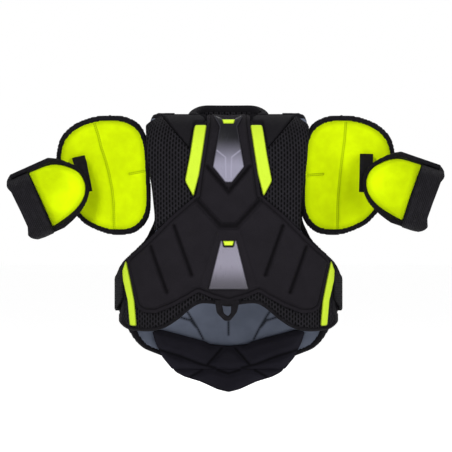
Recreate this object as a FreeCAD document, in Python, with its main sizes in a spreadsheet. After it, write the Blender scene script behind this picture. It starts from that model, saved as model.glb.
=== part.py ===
import FreeCAD, Part
import math
import os

import Sketcher
from FreeCAD import Placement, Rotation, Vector

# Hockey shoulder pads, upright as worn, millimetres.
# +X runs to the left arm of the wearer, -Y is the chest side, +Z is up.
# The origin is the middle of the torso at the level of the shoulder tops.
#
# Every panel is one layer of padding cut out of nested torso forms: a form is a rounded
# four-arc oval block, and a layer is the space between two forms.

SIZES = [
    ("half_width", 192.0, "torso form, middle to side"),
    ("front_depth", 95.0, "torso form, middle to chest"),
    ("back_depth", 92.0, "torso form, middle to back"),
    ("corner_radius", 80.0, "torso form, round of the sides in plan"),
    ("top_round", 66.0, "torso form, round over the shoulders"),
    ("form_height", 520.0, "torso form, shoulder top to below the tail"),
    ("tail_inner", -8.0, "offset of the tail pad's body side"),
    ("tail_outer", 0.0, "offset of the tail pad's outer side"),
    ("liner_inner", 0.3, "offset where the liners start"),
    ("liner_outer", 4.3, "offset where the liners end"),
    ("shell_inner", 4.7, "offset where the shells start"),
    ("thin_outer", 10.0, "offset where the thin shells end"),
    ("cover_inner", 10.4, "offset where straps and back plates start"),
    ("strap_outer", 12.6, "offset where the straps end"),
    ("thick_outer", 13.5, "offset where the chest shell and back plates end"),
    ("plate_inner", 13.9, "offset where the chest plates start"),
    ("plate_outer", 17.0, "offset where the chest plates end"),
    ("panel_reach", 150.0, "how far the cutting prisms reach"),
    ("front_seam", 20.0, "chest side of the shoulder seam"),
    ("back_seam", 20.0, "back side of the shoulder seam"),
    ("seam_gap", 0.4, "gap left at a seam"),
    ("neck_radius", 60.0, "neck opening"),
    ("neck_shift", 2.0, "neck opening, centre behind the middle"),
    ("neck_lining", 2.6, "thickness of the neck lining"),
    ("collar_width", 16.0, "collar roll, across"),
    ("collar_base", 12.8, "collar roll, underside"),
    ("collar_top", 27.0, "collar roll, top"),
    ("collar_sweep", 210.0, "collar roll, degrees round the nape"),
    ("cap_curve", 150.0, "shoulder cap, outer radius"),
    ("cap_shell", 4.0, "shoulder cap, thickness of the shell"),
    ("cap_liner", 4.6, "shoulder cap, thickness of the lining"),
    ("cap_plate", 3.2, "shoulder cap, thickness of the outer plate"),
    ("cap_anchor", 2.2, "shoulder cap, thickness of the strap anchor"),
    ("cap_reach", 170.0, "shoulder cap, how far the cutting prisms reach"),
    ("yoke_half", 19.8, "yoke pad, middle to seam"),
    ("yoke_strap_half", 13.0, "yoke strap, half width"),
    ("cap_depth", -90.0, "shoulder cap, centre of curve, front to back"),
    ("cap_level", -100.0, "shoulder cap, centre height"),
    ("cap_left", -225.0, "right shoulder cap of the wearer, centre"),
    ("cap_right", 215.0, "left shoulder cap of the wearer, centre"),
    ("arm_radius", 63.0, "bicep guard, outer radius"),
    ("arm_shell", 4.0, "bicep guard, thickness of the shell"),
    ("arm_liner", 3.6, "bicep guard, thickness of the lining"),
    ("arm_plate", 2.6, "bicep guard, thickness of the outer plate"),
    ("arm_depth", -52.0, "arm axis, front to back"),
    ("band_radius", 59.3, "elastic band, outer radius"),
    ("band_thick", 2.6, "elastic band, thickness"),
    ("band_width", 43.0, "elastic band, along the arm"),
    ("layer_gap", 0.4, "gap between stacked layers"),
    ("edge_binding", 6.0, "width of a sewn edge binding"),
    ("groove_floor", 11.0, "offset of the bottom of the chest grooves"),
]

SHORTEST_ARC = 0.3
NECK_CUT_HEIGHT = 200.0
ROD_LENGTH = 320.0
ARM_REACH = 200.0
BAND_REACH = 80.0
CAP_CORNER = 22.0
PLATE_CORNER = 4.0
PLATE_INSET = 30.0
LINING_LOW, LINING_HIGH = -6.0, 24.0
ARM_TILT = {"left": 24.2, "right": 19.0}
ARM_CENTRE = {"left": (-336.0, -147.6), "right": (328.5, -135.0)}
ARM_AXIS_LIFT = 4.0
BAND_AXIS_LIFT = -2.0
SIDES = (("left", -1), ("right", 1))

os.makedirs("parts", exist_ok=True)
doc = FreeCAD.newDocument("ShoulderPads")
sheet = doc.addObject("Spreadsheet::Sheet", "Sizes")
for row, (alias, value, note) in enumerate(SIZES, start=1):
    sheet.set("A%d" % row, note)
    sheet.set("B%d" % row, str(value))
    sheet.setAlias("B%d" % row, alias)
doc.recompute()
size = {alias: value for alias, value, note in SIZES}
BIND = size["edge_binding"]
GAP = size["layer_gap"]
nodes = []


# ---------------------------------------------------------------- outlines

def mirrored(half):
    """A closed outline from its right half, which starts and ends on the middle line."""
    left = [(-x, z) for x, z in reversed(half) if x != 0]
    return list(half) + left


def flipped(corners, side):
    return [(side * x, z) for x, z in corners]


def area(corners):
    pairs = zip(corners, corners[1:] + corners[:1])
    return sum(a[0] * b[1] - b[0] * a[1] for a, b in pairs) / 2


def inset(corners, distance):
    """The outline moved inwards by a distance, edge by edge."""
    turn = 1 if area(corners) > 0 else -1
    count = len(corners)
    moved = []
    for index in range(count):
        before = corners[index - 1]
        here = corners[index]
        after = corners[(index + 1) % count]
        first = unit(before, here)
        second = unit(here, after)
        normal_a = (-first[1] * turn, first[0] * turn)
        normal_b = (-second[1] * turn, second[0] * turn)
        scale = distance / (1 + normal_a[0] * normal_b[0] + normal_a[1] * normal_b[1])
        moved.append((here[0] + scale * (normal_a[0] + normal_b[0]),
                      here[1] + scale * (normal_a[1] + normal_b[1])))
    return moved


def unit(start, end):
    length = math.hypot(end[0] - start[0], end[1] - start[1])
    return ((end[0] - start[0]) / length, (end[1] - start[1]) / length)


def rounded_edges(corners, radius):
    """Lines and tangent arcs round a closed outline."""
    count = len(corners)
    cuts = []
    for index in range(count):
        before = corners[index - 1]
        here = corners[index]
        after = corners[(index + 1) % count]
        back = unit(here, before)
        ahead = unit(here, after)
        cosine = max(-1.0, min(1.0, back[0] * ahead[0] + back[1] * ahead[1]))
        half_angle = math.acos(cosine) / 2
        room = 0.45 * min(math.dist(before, here), math.dist(here, after))
        reach = min(radius / math.tan(half_angle), room)
        if reach < SHORTEST_ARC:
            reach = 0.0
        cuts.append((here, back, ahead, reach, half_angle))
    edges = []
    for index in range(count):
        here, back, ahead, reach, half_angle = cuts[index]
        start = (here[0] + back[0] * reach, here[1] + back[1] * reach)
        end = (here[0] + ahead[0] * reach, here[1] + ahead[1] * reach)
        if reach > 0:
            edges.append(corner_arc(here, start, end, reach, half_angle))
        corner, towards, _, cut_back, _ = cuts[(index + 1) % count]
        far = (corner[0] + towards[0] * cut_back, corner[1] + towards[1] * cut_back)
        edges.append(Part.LineSegment(Vector(*end, 0), Vector(*far, 0)))
    return edges


def corner_arc(corner, start, end, reach, half_angle):
    middle = ((start[0] + end[0]) / 2, (start[1] + end[1]) / 2)
    inward = unit(corner, middle)
    rise = reach / math.cos(half_angle) - reach * math.tan(half_angle)
    top = (corner[0] + inward[0] * rise, corner[1] + inward[1] * rise)
    return Part.Arc(Vector(*start, 0), Vector(*top, 0), Vector(*end, 0))


def add_loop(sketch, corners, radius):
    sketch.addGeometry(rounded_edges(corners, radius), False)


UPRIGHT = Rotation(Vector(1, 0, 0), 90)
FLAT = Rotation()
SIDEWAYS = Rotation(0.5, 0.5, 0.5, 0.5)


def outline(name, loops, radius, rotation=UPRIGHT):
    sketch = doc.addObject("Sketcher::SketchObject", name + "_outline")
    sketch.Placement = Placement(Vector(0, 0, 0), rotation)
    for corners in loops:
        add_loop(sketch, corners, radius)
    return sketch


def prism(name, loops, radius, direction, length, start=None):
    """A straight prism on an outline drawn in the XZ plane, running along Y."""
    sketch = outline(name, loops, radius)
    if start:
        sketch.setExpression("Placement.Base.y", start)
    solid = doc.addObject("Part::Extrusion", name + "_prism")
    solid.Base = sketch
    solid.DirMode = "Custom"
    solid.Dir = Vector(0, direction, 0)
    solid.Solid = True
    solid.setExpression("LengthFwd", length)
    return solid


def front_prism(name, loops, radius=4.0):
    start = "-Sizes.front_seam - Sizes.seam_gap / 2"
    return prism(name, loops, radius, -1, "Sizes.panel_reach", start)


def back_prism(name, loops, radius=4.0):
    start = "Sizes.back_seam + Sizes.seam_gap / 2"
    return prism(name, loops, radius, 1, "Sizes.panel_reach", start)


# ---------------------------------------------------------------- torso forms

forms = {}
layers = {}


def origin_plane(body, role):
    return [item for item in body.Origin.OriginFeatures if item.Role == role][0]


def oval_arcs(sketch, offset):
    """Four tangent arcs; radii and centres follow the spreadsheet."""
    side_x = size["half_width"] - size["corner_radius"]
    radii = []
    for depth in ("front_depth", "back_depth"):
        rest = size[depth] - size["corner_radius"]
        reach = (side_x ** 2 - rest ** 2) / (2 * rest)
        radii.append((reach, reach + size[depth] + offset))
    turn_front = math.atan2(radii[0][0], side_x)
    turn_back = math.atan2(radii[1][0], side_x)
    corner = size["corner_radius"] + offset
    arcs = [
        (0, radii[0][0], radii[0][1], -math.pi + turn_front, -turn_front),
        (side_x, 0, corner, -turn_front, turn_back),
        (0, -radii[1][0], radii[1][1], turn_back, math.pi - turn_back),
        (-side_x, 0, corner, math.pi - turn_back, math.pi + turn_front),
    ]
    for x, y, radius, start, end in arcs:
        circle = Part.Circle(Vector(x, y, 0), Vector(0, 0, 1), radius)
        sketch.addGeometry(Part.ArcOfCircle(circle, start, end), False)


def torso_form(alias):
    """The torso form grown by one offset of the spreadsheet."""
    if alias in forms:
        return forms[alias]
    body = doc.addObject("PartDesign::Body", "form_" + alias)
    sketch = body.newObject("Sketcher::SketchObject", "oval_" + alias)
    sketch.AttachmentSupport = [(origin_plane(body, "XY_Plane"), "")]
    sketch.MapMode = "FlatFace"
    oval_arcs(sketch, size[alias])
    side_x = "(Sizes.half_width - Sizes.corner_radius)"
    for index, depth, sense in ((0, "front_depth", 1), (2, "back_depth", -1)):
        rest = "(Sizes.%s - Sizes.corner_radius)" % depth
        reach = "(%s ^ 2 - %s ^ 2) / (2 * %s)" % (side_x, rest, rest)
        centre = sketch.Geometry[index].Center.y
        number = sketch.addConstraint(Sketcher.Constraint("DistanceY", -1, 1, index, 3, centre))
        sketch.setExpression("Constraints[%d]" % number, "%d * (%s)" % (sense, reach))
        number = sketch.addConstraint(Sketcher.Constraint("Radius", index, sketch.Geometry[index].Radius))
        grown = "%s + Sizes.%s + Sizes.%s" % (reach, depth, alias)
        sketch.setExpression("Constraints[%d]" % number, grown)
        sketch.addConstraint(Sketcher.Constraint("PointOnObject", index, 3, -2))
    for index, sense in ((1, 1), (3, -1)):
        centre = sketch.Geometry[index].Center.x
        number = sketch.addConstraint(Sketcher.Constraint("DistanceX", -1, 1, index, 3, centre))
        sketch.setExpression("Constraints[%d]" % number, "%d * %s" % (sense, side_x))
        number = sketch.addConstraint(Sketcher.Constraint("Radius", index, sketch.Geometry[index].Radius))
        sketch.setExpression("Constraints[%d]" % number, "Sizes.corner_radius + Sizes." + alias)
        sketch.addConstraint(Sketcher.Constraint("PointOnObject", index, 3, -1))
    block = body.newObject("PartDesign::Pad", "block_" + alias)
    block.Profile = sketch
    block.Reversed = True
    block.setExpression("Length", "Sizes.form_height + Sizes." + alias)
    doc.recompute()
    top = []
    for number, edge in enumerate(block.Shape.Edges, start=1):
        if abs(edge.BoundBox.ZMin) < 1e-6 and abs(edge.BoundBox.ZMax) < 1e-6:
            top.append("Edge%d" % number)
    shoulder = body.newObject("PartDesign::Fillet", "shoulder_" + alias)
    shoulder.Base = (block, top)
    shoulder.setExpression("Radius", "Sizes.top_round + Sizes." + alias)
    body.Tip = shoulder
    body.setExpression("Placement.Base.z", "Sizes." + alias)
    forms[alias] = body
    return body


def layer(inner, outer):
    """The space between two torso forms."""
    key = (inner, outer)
    if key not in layers:
        space = doc.addObject("Part::Cut", "layer_%s_%s" % key)
        space.Base = torso_form(outer)
        space.Tool = torso_form(inner)
        layers[key] = space
    return layers[key]


LINER = ("liner_inner", "liner_outer")
THIN = ("shell_inner", "thin_outer")
THICK = ("shell_inner", "thick_outer")
PLATE = ("plate_inner", "plate_outer")
STRAP = ("cover_inner", "strap_outer")
COVER = ("cover_inner", "thick_outer")
WHOLE = ("liner_inner", "thin_outer")
TAIL = ("tail_inner", "tail_outer")


# ---------------------------------------------------------------- nodes

def keep(feature, label):
    feature.Label = label
    nodes.append(feature)
    return feature


def common(name, base, tool):
    result = doc.addObject("Part::Common", name)
    result.Base = base
    result.Tool = tool
    return result


def cut(name, base, tool):
    result = doc.addObject("Part::Cut", name)
    result.Base = base
    result.Tool = tool
    return result


neck = doc.addObject("Part::Cylinder", "neck_hole")
neck.Height = NECK_CUT_HEIGHT
neck.setExpression("Radius", "Sizes.neck_radius")
neck.Placement = Placement(Vector(0, 0, -NECK_CUT_HEIGHT / 2), Rotation())
neck.setExpression("Placement.Base.y", "Sizes.neck_shift")


def front_panel(label, loops, between, radius=4.0, at_neck=False):
    shape = common(label + "_panel", front_prism(label, loops, radius), layer(*between))
    if at_neck:
        shape = cut(label + "_open", shape, neck)
    return keep(shape, label)


def back_panel(label, loops, between, radius=4.0, at_neck=False):
    shape = common(label + "_panel", back_prism(label, loops, radius), layer(*between))
    if at_neck:
        shape = cut(label + "_open", shape, neck)
    return keep(shape, label)


# chest

CHEST = mirrored([
    (0, 9), (38.7, 9), (39, -8), (45.8, -54), (52.8, -99), (57.5, -137), (69, -144.5),
    (105, -175.5), (141, -212), (177, -245), (182, -254.5), (175, -288), (167.7, -324),
    (164, -338), (148, -347), (114, -340), (87, -326), (66, -313), (51, -310), (33, -315), (0, -322)])
CHEST_LINER = mirrored([
    (0, 8), (37, 8), (44, -54), (51, -99), (56, -138), (68, -146), (104, -177), (140, -214),
    (176, -247), (186, -258), (190, -300), (191, -346), (200, -349), (198, -360), (192, -371),
    (177, -378), (141, -380), (114, -376), (87, -358), (69, -337), (51, -326), (24, -328), (0, -332)])
front_panel("chest_liner", [inset(CHEST_LINER, BIND + GAP)], LINER, 4.0, True)
front_panel("chest_binding", [CHEST_LINER, inset(CHEST_LINER, BIND)], LINER, 4.0, True)


def stroke(path, width):
    """A band of one width along an open line."""
    left = []
    right = []
    for index, point in enumerate(path):
        before = path[max(index - 1, 0)]
        after = path[min(index + 1, len(path) - 1)]
        along = unit(before, after)
        left.append((point[0] - along[1] * width / 2, point[1] + along[0] * width / 2))
        right.append((point[0] + along[1] * width / 2, point[1] - along[0] * width / 2))
    return left + right[::-1]


GROOVES = [
    [(-38, -88), (-2, -131)], [(38, -88), (2, -131)],
    [(-55, -146), (-12, -192), (12, -192), (55, -146)],
    [(-96, -196), (-66, -278)], [(96, -196), (66, -278)],
    [(-137, -230), (-110, -309)], [(137, -230), (110, -309)],
]
groove_prism = front_prism("groove", [stroke(path, 6.0) for path in GROOVES], 1.0)
groove_tool = common("groove_tool", groove_prism, layer("groove_floor", "plate_outer"))
chest_block = common("chest_block", front_prism("chest_shell", [CHEST]), layer(*THICK))
chest_open = cut("chest_open", chest_block, neck)
keep(cut("chest_grooved", chest_open, groove_tool), "chest_shell")

STERNUM = mirrored([(0, -8), (8.5, -8), (11, 1), (26, 7), (15.5, -13), (28, -85), (6, -113), (0, -113)])
STERNUM_TAB = mirrored([(0, 1), (10.3, 1), (7.8, -7.5), (0, -7.5)])
LOWER_PLATE = mirrored([(0, -228), (8.5, -228), (11, -216.5), (14, -216.5), (36, -304), (0, -304)])
LOWER_TAB = mirrored([(0, -217), (10.2, -217), (7.8, -227.4), (0, -227.4)])
front_panel("sternum_plate", [STERNUM], PLATE, 2.0, True)
front_panel("sternum_tab", [STERNUM_TAB], PLATE, 1.0, True)
front_panel("lower_plate", [LOWER_PLATE], PLATE, 2.0)
front_panel("lower_tab", [LOWER_TAB], PLATE, 1.0)

UPPER_STRIP = [(60, -7), (39.6, -7), (46.5, -54), (53.5, -99), (63.6, -137), (78, -110), (69, -63), (62, -18)]
LOWER_STRIP = [(184.5, -252), (193, -272), (191.5, -288), (181, -324), (177, -369), (165, -370),
               (168.7, -324), (176, -288), (183.2, -256)]
WING = [(145, -7), (141, -72), (133, -126), (128.5, -171), (129, -198.5), (105.4, -174.4),
        (69.8, -143.6), (64.8, -138), (78.8, -110), (69.9, -64), (69.8, -55), (118.5, 3.5)]
SHOULDER = [(40.5, 16), (127, 16), (118.8, 4.6), (69.9, -53.4), (62.9, -18), (60.8, -6.2), (40.5, -6.2)]
for side_name, side in SIDES:
    front_panel("upper_strip_" + side_name, [flipped(UPPER_STRIP, side)], THIN, 3.0)
    front_panel("lower_strip_" + side_name, [flipped(LOWER_STRIP, side)], THIN, 2.0)
    front_panel("mesh_wing_" + side_name, [flipped(WING, side)], WHOLE, 2.0)
    front_panel("shoulder_front_" + side_name, [flipped(SHOULDER, side)], WHOLE, 2.0, True)

LOOP = [(-25, -325), (-20, -347), (-6, -360), (2, -360), (14, -346), (19, -325)]
LOOP_HOLE = [(-12, -332), (-9, -346), (-3, -351), (0, -351), (4, -346), (5, -332)]
front_panel("belly_loop", [LOOP, LOOP_HOLE], THIN, 3.0)

# back

BACK = mirrored([
    (0, 22), (146, 22), (144, -20), (141, -60), (136, -120), (133, -180), (150, -216), (184, -250),
    (194, -266), (194, -342), (183, -368), (170, -395), (156, -412), (116, -428), (60, -432), (0, -434)])
back_panel("back_liner", [inset(BACK, BIND + GAP)], LINER, 5.0, True)
back_panel("back_shell", [inset(BACK, BIND + GAP)], THIN, 5.0, True)
back_panel("back_binding", [BACK, inset(BACK, BIND)], WHOLE, 5.0, True)
SPINE = [
    ("spine_plate_upper", [(0, -26), (30, -26), (36, -60), (26, -118), (0, -118)]),
    ("spine_plate_middle", [(0, -122), (27, -122), (32, -170), (27, -216), (0, -216)]),
    ("spine_plate_lower", [(0, -220), (27, -220), (30, -270), (20, -316), (0, -316)]),
]
for label, half in SPINE:
    back_panel(label, [mirrored(half)], COVER, 6.0)
BLADE = [(48, -24), (112, -20), (124, -62), (116, -128), (84, -166), (46, -148), (42, -80)]
KIDNEY = [(48, -186), (96, -190), (138, -250), (140, -330), (108, -376), (58, -352), (44, -262)]
for side_name, side in SIDES:
    back_panel("blade_plate_" + side_name, [flipped(BLADE, side)], COVER, 10.0)
    back_panel("kidney_pad_" + side_name, [flipped(KIDNEY, side)], COVER, 12.0)

LUMBAR = mirrored([(0, -408), (33, -405), (42, -400), (123, -378), (138, -382), (127, -414), (116, -428),
                   (102, -449), (0, -449)])
TAIL_FLAP = mirrored([(0, -450.5), (101, -450.5), (95, -456), (80, -464), (51, -472), (20, -486), (0, -490)])
back_panel("lumbar_pad", [LUMBAR], TAIL, 3.0)
back_panel("lumbar_tail", [TAIL_FLAP], TAIL, 1.0)

# yokes over the shoulders, between the chest and back panels

YOKE = [(42, -40), (145, -40), (145, 22), (42, 22)]
YOKE_STRAP = [(96, -40), (144, -40), (144, 22), (96, 22)]
for side_name, side in SIDES:
    for label, between, loop, half, at_neck in (
            ("yoke_pad_", WHOLE, YOKE, "Sizes.yoke_half", True),
            ("yoke_strap_", STRAP, YOKE_STRAP, "Sizes.yoke_strap_half", False)):
        name = label + side_name
        block = prism(name, [flipped(loop, side)], 1.0, 1, "2 * " + half, "-" + half)
        shape = common(name + "_panel", block, layer(*between))
        if at_neck:
            shape = cut(name + "_open", shape, neck)
        keep(shape, name)

# collar roll and the lining of the neck opening

def neck_ring(label, inner, outer, low, high, sweep, radius):
    body = doc.addObject("PartDesign::Body", label + "_body")
    sketch = body.newObject("Sketcher::SketchObject", label + "_section")
    sketch.AttachmentSupport = [(origin_plane(body, "XZ_Plane"), "")]
    sketch.MapMode = "FlatFace"
    add_loop(sketch, [(inner, low), (outer, low), (outer, high), (inner, high)], radius)
    ring = body.newObject("PartDesign::Revolution", label + "_ring")
    ring.Profile = sketch
    ring.ReferenceAxis = (sketch, ["V_Axis"])
    ring.setExpression("Angle", sweep)
    body.Tip = ring
    start = 90 - size["collar_sweep"] / 2
    body.Placement = Placement(Vector(0, size["neck_shift"], 0), Rotation(Vector(0, 0, 1), start))
    return keep(body, label)


collar_inner = size["neck_radius"]
neck_ring("collar_roll", collar_inner, collar_inner + size["collar_width"], size["collar_base"],
          size["collar_top"], "Sizes.collar_sweep", 6.0)
lining_outer = collar_inner - GAP
neck_ring("collar_lining", lining_outer - size["neck_lining"], lining_outer, LINING_LOW, LINING_HIGH,
          "Sizes.collar_sweep", 1.0)

# side straps round the ribs

STRAP_PLAN = [(196, -62), (230, -62), (230, 130), (152, 130), (152, 34), (196, 34)]
STRAP_LOW, STRAP_HIGH = -342.0, -262.0
for side_name, side in SIDES:
    name = "side_strap_" + side_name
    sketch = outline(name, [flipped(STRAP_PLAN, side)], 1.0, FLAT)
    sketch.Placement.Base.z = STRAP_LOW
    block = doc.addObject("Part::Extrusion", name + "_prism")
    block.Base = sketch
    block.DirMode = "Custom"
    block.Dir = Vector(0, 0, 1)
    block.Solid = True
    block.LengthFwd = STRAP_HIGH - STRAP_LOW
    keep(common(name + "_panel", block, layer(*STRAP)), name)


# ---------------------------------------------------------------- shoulder caps

CAP = [(84, 35), (76, 70), (50, 94), (10, 107), (-35, 107), (-66, 92), (-79, 60), (-84, -50), (-80, -80),
       (-55, -105), (-10, -107), (35, -88), (66, -48), (82, -5)]
ANCHOR = [(-78, 20), (-56, 20), (-50, 88), (-72, 84)]


def ball(name, radius):
    sphere = doc.addObject("Part::Sphere", name)
    sphere.setExpression("Radius", radius)
    return sphere


def shell_between(name, maker, outer, inner):
    return cut(name + "_space", maker(name + "_outer", outer), maker(name + "_inner", inner))


CAP_LAYERS = [
    ("cap_liner", "Sizes.cap_curve - Sizes.cap_shell - Sizes.layer_gap",
     "Sizes.cap_curve - Sizes.cap_shell - Sizes.layer_gap - Sizes.cap_liner", "inner"),
    ("cap_shell", "Sizes.cap_curve", "Sizes.cap_curve - Sizes.cap_shell", "inner"),
    ("cap_binding", "Sizes.cap_curve",
     "Sizes.cap_curve - Sizes.cap_shell - Sizes.layer_gap - Sizes.cap_liner", "ring"),
    ("cap_plate", "Sizes.cap_curve + Sizes.layer_gap + Sizes.cap_plate",
     "Sizes.cap_curve + Sizes.layer_gap", "plate"),
    ("cap_anchor", "Sizes.cap_curve + Sizes.layer_gap + Sizes.cap_anchor",
     "Sizes.cap_curve + Sizes.layer_gap", "anchor"),
]
CAP_LOOPS = {
    "inner": [inset(CAP, BIND + GAP)],
    "ring": [CAP, inset(CAP, BIND)],
    "plate": [inset(CAP, PLATE_INSET)],
    "anchor": [ANCHOR],
}


def seated(feature, x_expression, y_expression, z_expression):
    feature.setExpression("Placement.Base.x", x_expression)
    feature.setExpression("Placement.Base.y", y_expression)
    feature.setExpression("Placement.Base.z", z_expression)
    return feature


for side_name, side in SIDES:
    for label, outer, inner, kind in CAP_LAYERS:
        name = label + "_" + side_name
        loops = [flipped(corners, side) for corners in CAP_LOOPS[kind]]
        radius = CAP_CORNER if kind in ("inner", "ring") else PLATE_CORNER
        block = prism(name, loops, radius, 1, "Sizes.cap_reach")
        shape = common(name + "_panel", block, shell_between(name, ball, outer, inner))
        keep(seated(shape, "Sizes.cap_" + side_name, "Sizes.cap_depth", "Sizes.cap_level"), name)

# webbing that links each cap to its bicep guard

LINK_PROFILE = [(31.0, -58.0), (33.2, -58.0), (15.0, -96.0), (15.0, -128.0), (12.8, -128.0), (12.8, -95.0)]
LINK_INNER = {"left": 35.0, "right": 23.0}
LINK_WIDTH = 24.0
for side_name, side in SIDES:
    name = "link_tab_" + side_name
    sketch = outline(name, [LINK_PROFILE], 2.0, SIDEWAYS)
    tab = doc.addObject("Part::Extrusion", name + "_web")
    tab.Base = sketch
    tab.DirMode = "Custom"
    tab.Dir = Vector(side, 0, 0)
    tab.Solid = True
    tab.LengthFwd = LINK_WIDTH
    tab.Placement.Base.x = size["cap_" + side_name] + side * LINK_INNER[side_name]
    keep(tab, name)

# ---------------------------------------------------------------- bicep guards

GUARD = [(-93, 5), (-91, 22), (-82, 36), (-68, 50), (-53, 60), (-39, 65), (13, 66.5), (35, 63), (50, 52),
         (42, 38), (38, 20), (38, -28), (42, -43), (43, -52), (33, -57), (-3, -58.5), (-32, -52), (-51, -46),
         (-69, -37), (-82, -25), (-91, -9)]


def part_of(corners, low, high):
    """The part of an outline between two stations along the arm."""
    kept = []
    count = len(corners)
    for index in range(count):
        here = corners[index]
        after = corners[(index + 1) % count]
        if low <= here[0] <= high:
            kept.append(here)
        for station in (low, high):
            if (here[0] - station) * (after[0] - station) < 0:
                share = (station - here[0]) / (after[0] - here[0])
                kept.append((station, here[1] + share * (after[1] - here[1])))
    return kept


GUARD_PLATE = [(-44, 26), (-30, 40), (28, 44), (39, 32), (35, -34), (-3, -38), (-28, -32), (-44, -16)]
GUARD_INNER = inset(GUARD, BIND + GAP)
GUARD_LOOPS = {
    "lining": [part_of(GUARD_INNER, -ARM_REACH, -GAP / 2)],
    "cuff": [part_of(GUARD_INNER, GAP / 2, ARM_REACH)],
    "inner": [GUARD_INNER],
    "ring": [GUARD, inset(GUARD, BIND)],
    "plate": [GUARD_PLATE],
}
LINING_OUT = "Sizes.arm_radius - Sizes.arm_shell - Sizes.layer_gap"
LINING_IN = LINING_OUT + " - Sizes.arm_liner"
GUARD_LAYERS = [
    ("bicep_liner", LINING_OUT, LINING_IN, "lining"),
    ("cuff_liner", LINING_OUT, LINING_IN, "cuff"),
    ("bicep_shell", "Sizes.arm_radius", "Sizes.arm_radius - Sizes.arm_shell", "inner"),
    ("bicep_binding", "Sizes.arm_radius", LINING_IN, "ring"),
    ("bicep_plate", "Sizes.arm_radius + Sizes.layer_gap + Sizes.arm_plate",
     "Sizes.arm_radius + Sizes.layer_gap", "plate"),
]


def rod(name, radius):
    """A cylinder along X through the arm axis."""
    cylinder = doc.addObject("Part::Cylinder", name)
    cylinder.setExpression("Radius", radius)
    cylinder.Height = ROD_LENGTH
    cylinder.Placement = Placement(Vector(-ROD_LENGTH / 2, 0, ARM_AXIS_LIFT), Rotation(Vector(0, 1, 0), 90))
    return cylinder


def on_arm(feature, side_name, side):
    centre = ARM_CENTRE[side_name]
    turn = Rotation(Vector(0, 1, 0), side * ARM_TILT[side_name])
    feature.Placement = Placement(Vector(centre[0], 0, centre[1]), turn)
    feature.setExpression("Placement.Base.y", "Sizes.arm_depth")
    return feature


for side_name, side in SIDES:
    for label, outer, inner, kind in GUARD_LAYERS:
        name = label + "_" + side_name
        loops = [flipped(corners, side) for corners in GUARD_LOOPS[kind]]
        block = prism(name, loops, 5.0, 1, "Sizes.panel_reach", "Sizes.seam_gap / 2")
        shape = common(name + "_panel", block, shell_between(name, rod, outer, inner))
        keep(on_arm(shape, side_name, side), name)
    name = "elastic_band_" + side_name
    tube = shell_between(name, rod, "Sizes.band_radius", "Sizes.band_radius - Sizes.band_thick")
    tube.Placement.Base.z = BAND_AXIS_LIFT - ARM_AXIS_LIFT
    width = size["band_width"]
    strip = [(0, -BAND_REACH), (width, -BAND_REACH), (width, BAND_REACH), (0, BAND_REACH)]
    front = prism(name, [flipped(strip, side)], 1.0, -1, "Sizes.panel_reach", "-Sizes.seam_gap / 2")
    keep(on_arm(common(name + "_panel", front, tube), side_name, side), name)

# ---------------------------------------------------------------- checks and files

doc.recompute()
for item in doc.Objects:
    if "Invalid" in item.State or "Error" in item.State:
        raise RuntimeError("bad object: %s %s" % (item.Label, item.State))
for item in nodes:
    if item.Shape.isNull() or not item.Shape.isValid() or item.Shape.Volume < 1:
        raise RuntimeError("bad shape: " + item.Label)
for item in nodes:
    item.Shape.exportStep("parts/%s.step" % item.Label)
    box = item.Shape.BoundBox
    print("%-24s solids %d faces %3d vol %8.1f  x %.0f..%.0f y %.0f..%.0f z %.0f..%.0f" % (
        item.Label, len(item.Shape.Solids), len(item.Shape.Faces), item.Shape.Volume / 1000,
        box.XMin, box.XMax, box.YMin, box.YMax, box.ZMin, box.ZMax))
print(len(nodes), "nodes")
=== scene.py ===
"""Looks of the hockey shoulder pads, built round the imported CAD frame.

Lengths are millimetres until a mesh is made. Left and right are as seen from the front.
A panel is drawn as an outline in the front view, laid on a curved surface and given a crowned
thickness. Offsets are measured outwards from that surface.
"""

import math

import bmesh
import bpy
import numpy as np
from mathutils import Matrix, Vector
from mathutils.geometry import delaunay_2d_cdt


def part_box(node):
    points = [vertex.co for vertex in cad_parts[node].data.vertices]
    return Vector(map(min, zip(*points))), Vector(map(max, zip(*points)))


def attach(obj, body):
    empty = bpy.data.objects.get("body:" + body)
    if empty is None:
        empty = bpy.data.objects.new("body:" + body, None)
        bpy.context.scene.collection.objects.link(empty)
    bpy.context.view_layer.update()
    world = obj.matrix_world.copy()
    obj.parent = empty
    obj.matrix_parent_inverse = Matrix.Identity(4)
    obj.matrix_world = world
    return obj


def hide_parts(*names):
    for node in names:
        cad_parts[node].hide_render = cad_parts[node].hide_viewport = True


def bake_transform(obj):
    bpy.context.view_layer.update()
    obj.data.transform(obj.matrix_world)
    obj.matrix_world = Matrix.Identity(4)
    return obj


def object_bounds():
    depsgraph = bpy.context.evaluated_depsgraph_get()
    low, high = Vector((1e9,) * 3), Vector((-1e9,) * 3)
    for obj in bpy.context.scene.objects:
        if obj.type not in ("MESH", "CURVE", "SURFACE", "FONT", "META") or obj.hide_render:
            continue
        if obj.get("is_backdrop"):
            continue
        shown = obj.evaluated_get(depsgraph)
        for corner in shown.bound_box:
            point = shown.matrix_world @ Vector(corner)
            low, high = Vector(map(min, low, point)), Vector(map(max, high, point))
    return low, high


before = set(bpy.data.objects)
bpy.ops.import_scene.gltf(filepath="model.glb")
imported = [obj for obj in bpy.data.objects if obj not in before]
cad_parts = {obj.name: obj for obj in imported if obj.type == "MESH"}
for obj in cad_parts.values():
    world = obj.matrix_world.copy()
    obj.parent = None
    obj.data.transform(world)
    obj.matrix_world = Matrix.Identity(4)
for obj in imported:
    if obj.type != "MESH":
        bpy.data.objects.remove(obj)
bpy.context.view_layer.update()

MM = 0.001
SIDES = (("left", -1), ("right", 1))


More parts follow.
